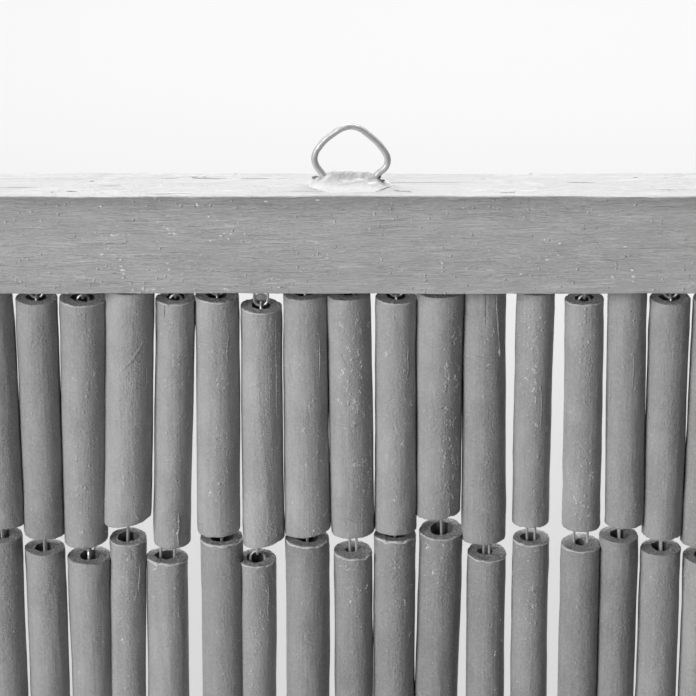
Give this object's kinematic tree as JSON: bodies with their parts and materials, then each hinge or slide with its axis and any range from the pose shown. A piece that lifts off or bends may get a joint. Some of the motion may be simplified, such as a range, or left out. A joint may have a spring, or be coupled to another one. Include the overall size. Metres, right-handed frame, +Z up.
{
  "type": "bamboo bead curtain with its head rail",
  "caption": "Door curtain of hollow bamboo tubes wired end to end in strands, painted grey, hanging from a plain wooden head rail with wire hanging loops set in glue.",
  "frame": {"origin": "midway between the two hanging loops, at the height at which the inside of their crowns bears on a hook, on the rail's middle plane", "axes": "+Z up, +X along the rail to the right seen from the front, -Y the front"},
  "size_m": [0.9, 0.0152, 2.0226],
  "materials": {
    "rail_paint": "brushed grey paint over wood, satin",
    "wire": "drawn steel wire, partly painted over",
    "glue": "set glue painted over, satin",
    "bamboo": "thin grey paint over bamboo, satin"
  },
  "bodies": {
    "root": {"rail": "rail_paint", "loop_left": "wire", "loop_right": "wire", "mound_left": "glue", "mound_right": "glue", "strands": "bamboo"}
  },
  "joints": []
}
